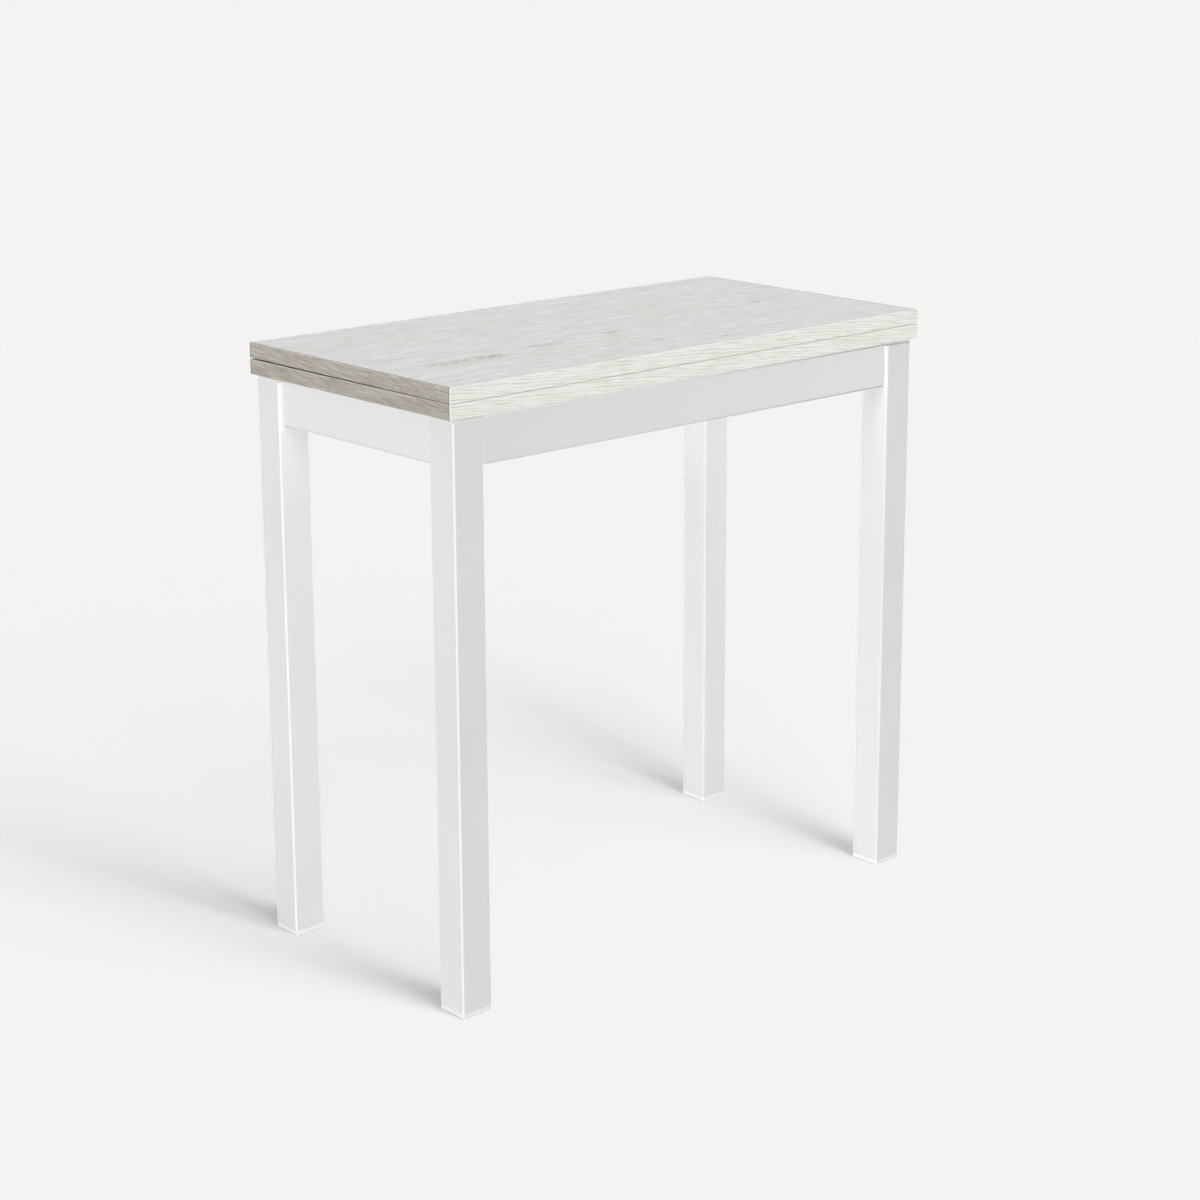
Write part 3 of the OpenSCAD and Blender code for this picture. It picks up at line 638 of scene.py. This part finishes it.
def nylon():
    """Milky moulded nylon."""
    finish = Finish("nylon_finish", Roughness=0.45, Subsurface_Weight=0.1)
    haze = finish.noise((4, 4, 4), 3, 0.6)
    finish.shine(Base_Color=finish.stain(tone(238, 235, 224), tone(226, 222, 208), haze, 0.3, 0.7))
    finish.bump(finish.noise((0.4, 0.4, 0.4), 2, 0.5, seed=2), depth=0.01, strength=0.5)
    return finish.material


def felt():
    """Pressed wool: mottled fibres with a soft edge of sheen."""
    finish = Finish("felt_finish", Roughness=0.95, Sheen_Weight=0.4, Sheen_Roughness=0.5)
    fibres = finish.noise((0.35, 0.35, 0.35), 5, 0.75)
    finish.shine(Base_Color=finish.stain(tone(206, 205, 200), tone(166, 165, 160), fibres, 0.35, 0.65))
    finish.bump(fibres, depth=0.25, strength=0.8)
    return finish.material


FINISHES = {
    "top_decor": top_decor(),
    "long_band_decor": long_band_decor(),
    "end_band_decor": end_band_decor(),
    "white_paint": white_paint(),
    "white_plastic": white_plastic(),
    "zinc": metal("zinc_finish", tone(190, 194, 200), tone(160, 165, 173), 0.26, 0.44, (3, 3, 0.4)),
    "nickel": metal("nickel_finish", tone(184, 180, 172), tone(158, 153, 144), 0.22, 0.4, (9, 0.35, 0.35)),
    "nylon": nylon(),
    "felt": felt(),
}


def dress_nodes():
    """Each node gets the finish that its packed material slot names."""
    for piece in frame["nodes"].values():
        for index, packed in enumerate(piece.data.materials):
            piece.data.materials[index] = FINISHES[packed.name]


# Screws, in millimetres: head radius, shank radius and length
HINGE_SCREW = (3.3, 1.7, 14)
PLATE_SCREW = (4, 2.1, 15)
SCREW_RIM = 0.12
SCREW_DISH = 0.1
# In parts of the shank's radius
TIP_RADIUS = 0.1
TIP_LENGTH = 2
# In parts of the head's radius
DISH_RADIUS = 0.8
RECESS_ARM = 0.58
RECESS_WIDTH = 0.16
RECESS_DEPTH = 0.5
RECESS_TAPER = 0.6  # size of the recess at its floor, in parts of its size at the top

# Bolts, in millimetres
BOLT_R = 3
BOLT_LENGTH = 16
BOLT_HEAD = 4
BOLT_FLATS = 10
BOLT_CHAMFER = 0.6
HEX_DISH = 0.25
HEX_TOP = 0.95  # radius of a head's flat top, in parts of half its width across flats
HEX_DISH_RADII = (0.8, 0.7)  # of the dish's edge and floor, in parts of the flat top's radius
HEX_SLOPE = 30  # degrees
HEX_POINTS = 48

# Weld beads, in millimetres
WELD_SIZE = 2.6
SMALL_WELD = 2
WELD_STEP = 0.7
WELD_LAG = 0.7  # how far the bead's middle runs ahead of its edges
WELD_SINK = 0.25
WELD_RIPPLE = 0.022  # in parts of the bead's reach
WELD_SWELL = 0.86  # reach of the bead's middle, in parts of its reach on the walls
WELD_TIP = 0.05  # square of the bead's reach at its ends, in parts of its full reach's square
WELD_SIDES = 6
WELD_LEAST_STEPS = 4
APRON_ROUND = 3
PLATE_WELDS = ((2, 10.5), (24.5, 33.5), (47.5, 56))  # stretches above the apron's lower edge
RAIL_WELDS = ((1, 8), (22, 29))
FRAME_CORNERS = [(side, end) for side in (-1, 1) for end in (-1, 1)]

SHARP_ANGLE = 32  # degrees
MERGE_DISTANCE = 1e-6  # metres, below which two corners are one
FACING_DIGITS = 3
PLACE_DIGITS = 6
TINY = 1e-9  # keeps a division clear of zero


def ring(radius, height, angles):
    """Points round Z. The radius is a number, or a function of the angle."""
    made = []
    for angle in angles:
        reach = radius(angle) if callable(radius) else radius
        made.append(Vector((reach * math.cos(angle), reach * math.sin(angle), height)) * MM)
    return made


def stack(bm, place, rings):
    """A closed skin over the rings, with a fan on the first and the last one. Place is a matrix."""
    rows = [[bm.verts.new(place @ point) for point in row] for row in rings]
    count = len(rows[0])
    for lower, upper in zip(rows, rows[1:]):
        for i in range(count):
            j = (i + 1) % count
            bm.faces.new((lower[i], lower[j], upper[j], upper[i]))
    for row in (rows[0], rows[-1]):
        middle = bm.verts.new(sum((vertex.co for vertex in row), Vector()) / count)
        for i in range(count):
            bm.faces.new((row[i], row[(i + 1) % count], middle))


def add_piece(name, bm, body, slot, *replaced):
    """Makes the mesh a piece that rides on the body and stands for the replaced nodes."""
    bmesh.ops.recalc_face_normals(bm, faces=bm.faces)
    mesh = bpy.data.meshes.new(name)
    bm.to_mesh(mesh)
    bm.free()
    mesh.shade_smooth()
    mesh.set_sharp_from_angle(angle=math.radians(SHARP_ANGLE))
    mesh.materials.append(FINISHES[slot])
    piece = bpy.data.objects.new(name, mesh)
    bpy.context.scene.collection.objects.link(piece)
    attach(piece, body)
    if replaced:
        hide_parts(*replaced)
    pieces[body].append(piece)


def islands(mesh):
    """The faces of each separate solid in the mesh, in the same order each time."""
    bm = bmesh.new()
    bm.from_mesh(mesh)
    bmesh.ops.remove_doubles(bm, verts=bm.verts, dist=MERGE_DISTANCE)
    found = set()
    for first in bm.faces:
        if first in found:
            continue
        found.add(first)
        solid = [first]
        for face in solid:
            for vertex in face.verts:
                near = [other for other in vertex.link_faces if other not in found]
                found.update(near)
                solid += near
        yield solid
    bm.free()


def heads(node):
    """For each fastener of the node, the place of its head's flat face, with Z pointing out of it."""
    for solid in islands(frame["nodes"][node].data):
        sides = {}
        for face in solid:
            way = tuple(round(part, FACING_DIGITS) for part in face.normal)
            sides.setdefault(way, []).append(face)
        flat = max(sides.values(), key=lambda faces: sum(face.calc_area() for face in faces))
        corners = {vertex.co.to_tuple(PLACE_DIGITS) for face in flat for vertex in face.verts}
        centre = sum((Vector(corner) for corner in sorted(corners)), Vector()) / len(corners)
        out = flat[0].normal.to_track_quat("Z", "Y").to_matrix().to_4x4()
        yield Matrix.Translation(centre) @ out


def cross_reach(arm, half_width):
    """Distance from the centre to the edge of a cross, as a function of the angle."""

    def reach(angle):
        along, across = abs(math.cos(angle)) + TINY, abs(math.sin(angle)) + TINY
        first = min(half_width / across, arm / along)
        second = min(half_width / along, arm / across)
        return max(first, second)

    return reach


def cross_screws(name, body, slot, node, head_r, shank_r, length):
    """Countersunk screws with a tapered cross recess, a faint dish round it and a pointed tip."""
    arm, half_width = RECESS_ARM * head_r, RECESS_WIDTH * head_r
    corner = math.atan2(half_width, arm)
    quarter = [0, corner / 2, corner, (corner + math.pi / 4) / 2, math.pi / 4]
    quarter += [math.pi / 2 - angle for angle in quarter[3:0:-1]]
    angles = [turn * math.pi / 2 + angle for turn in range(4) for angle in quarter]
    edge = cross_reach(arm, half_width)
    floor = cross_reach(RECESS_TAPER * arm, RECESS_TAPER * half_width)
    rings = [
        ring(TIP_RADIUS * shank_r, -length, angles),
        ring(shank_r, TIP_LENGTH * shank_r - length, angles),
        ring(shank_r, shank_r - head_r, angles),
        ring(head_r, -SCREW_RIM, angles),
        ring(head_r - SCREW_RIM, 0, angles),
        ring(DISH_RADIUS * head_r, -SCREW_DISH, angles),
        ring(edge, -SCREW_DISH, angles),
        ring(floor, -RECESS_DEPTH * head_r, angles),
    ]
    bm = bmesh.new()
    for place in heads(node):
        stack(bm, place, rings)
    add_piece(name, bm, body, slot, node)


def hexagon_reach(across_flats):
    """Distance from the centre to the side of a hexagon, as a function of the angle."""

    def reach(angle):
        return across_flats / 2 / math.cos(angle % (math.pi / 3) - math.pi / 6)

    return reach


def hexagon_head(angles):
    """Rings of a hexagon head whose corners are turned off at a slope, with its top at 0."""
    side = hexagon_reach(BOLT_FLATS)
    top_r = HEX_TOP * BOLT_FLATS / 2
    slope = math.tan(math.radians(HEX_SLOPE))
    corners = ring(side, 0, angles)
    turned = [point + Vector((0, 0, (top_r * MM - point.length) * slope)) for point in corners]
    dish_edge, dish_floor = (share * top_r for share in HEX_DISH_RADII)
    return [
        ring(side, -BOLT_HEAD, angles),
        turned,
        ring(top_r, 0, angles),
        ring(dish_edge, 0, angles),
        ring(dish_floor, -HEX_DISH, angles),
    ]


def hex_bolts(name, node):
    """Bolts with turned hexagon heads, a shallow dish on top, and a chamfered end."""
    angles = [2 * math.pi * i / HEX_POINTS for i in range(HEX_POINTS)]
    tip = BOLT_HEAD + BOLT_LENGTH
    rings = [
        ring(BOLT_R - BOLT_CHAMFER, -tip, angles),
        ring(BOLT_R, BOLT_CHAMFER - tip, angles),
        ring(BOLT_R, -BOLT_HEAD, angles),
        *hexagon_head(angles),
    ]
    bm = bmesh.new()
    for place in heads(node):
        stack(bm, place, rings)
    add_piece(name, bm, "frame", "zinc", node)


def weld_bead(bm, start, end, wall_a, wall_b, size):
    """A rippled fillet from start to end, on two walls that run off along wall_a and wall_b."""
    start, end, wall_a, wall_b = map(Vector, (start, end, wall_a, wall_b))
    length = (end - start).length
    along = (end - start).normalized()
    steps = max(WELD_LEAST_STEPS, round(length / WELD_STEP))
    rows = []
    for step in range(steps + 1):
        share = step / steps
        taper = math.sqrt(max(WELD_TIP, 1 - abs(2 * share - 1) ** (length / size)))
        reach = size * taper * (1 + WELD_RIPPLE * math.cos(math.pi * step))
        centre = start + along * share * length - (wall_a + wall_b) * WELD_SINK
        row = [centre]
        for i in range(WELD_SIDES + 1):
            angle = math.pi / 2 * i / WELD_SIDES
            swell = 1 - (1 - WELD_SWELL) * math.sin(2 * angle)
            lag = along * WELD_LAG * math.sin(2 * angle) * taper
            row.append(centre + (wall_a * math.cos(angle) + wall_b * math.sin(angle)) * reach * swell + lag)
        rows.append([point * MM for point in row])
    stack(bm, Matrix.Identity(4), rows)


def apron_welds():
    """Welds of the short aprons: a long one on the inner side and a short one below, at each end."""
    low, high = (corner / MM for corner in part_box("right_apron"))
    bm = bmesh.new()
    for side, end in FRAME_CORNERS:
        y = end * high.y
        foot, top = (side * low.x, y, low.z + APRON_ROUND), (side * low.x, y, high.z - APRON_ROUND)
        weld_bead(bm, foot, top, (-side, 0, 0), (0, -end, 0), WELD_SIZE)
        inner, outer = (side * (low.x + APRON_ROUND), y, low.z), (side * (high.x - APRON_ROUND), y, low.z)
        weld_bead(bm, inner, outer, (0, 0, -1), (0, -end, 0), WELD_SIZE)
    add_piece("apron_welds", bm, "frame", "white_paint")


def plate_welds():
    """Short welds of the long aprons to their end plates, clear of the bolts' washers."""
    low, high = (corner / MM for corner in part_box("rear_apron"))
    bm = bmesh.new()
    for side, end in FRAME_CORNERS:
        spot = (side * high.x, end * low.y)
        for below, above in PLATE_WELDS:
            stretch = (*spot, low.z + below), (*spot, low.z + above)
            weld_bead(bm, *stretch, (0, -end, 0), (-side, 0, 0), SMALL_WELD)
    add_piece("end_plate_welds", bm, "frame", "white_paint")


def rail_welds():
    """Short welds of the pivot rail to its end plates, clear of the bolts' washers."""
    low, high = (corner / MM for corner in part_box("pivot_rail"))
    bm = bmesh.new()
    for side, end in FRAME_CORNERS:
        spot = (low.x if side < 0 else high.x, end * high.y)
        for below, above in RAIL_WELDS:
            stretch = (*spot, low.z + below), (*spot, low.z + above)
            weld_bead(bm, *stretch, (side, 0, 0), (0, -end, 0), SMALL_WELD)
    add_piece("rail_welds", bm, "frame", "white_paint")


def make_fasteners():
    for leaf, body in (("lower", "top"), ("upper", "upper_leaf")):
        cross_screws(f"{leaf}_cross_screws", body, "nickel", f"{leaf}_hinge_screws", *HINGE_SCREW)
    cross_screws("swivel_cross_screws", "top", "zinc", "swivel_plate_screws", *PLATE_SCREW)
    hex_bolts("frame_hex_bolts", "frame_bolts")
    hex_bolts("rail_hex_bolts", "rail_bolts")


make_camera()
make_world()
dress_nodes()
make_fasteners()
apron_welds()
plate_welds()
rail_welds()
make_lights(make_floor())
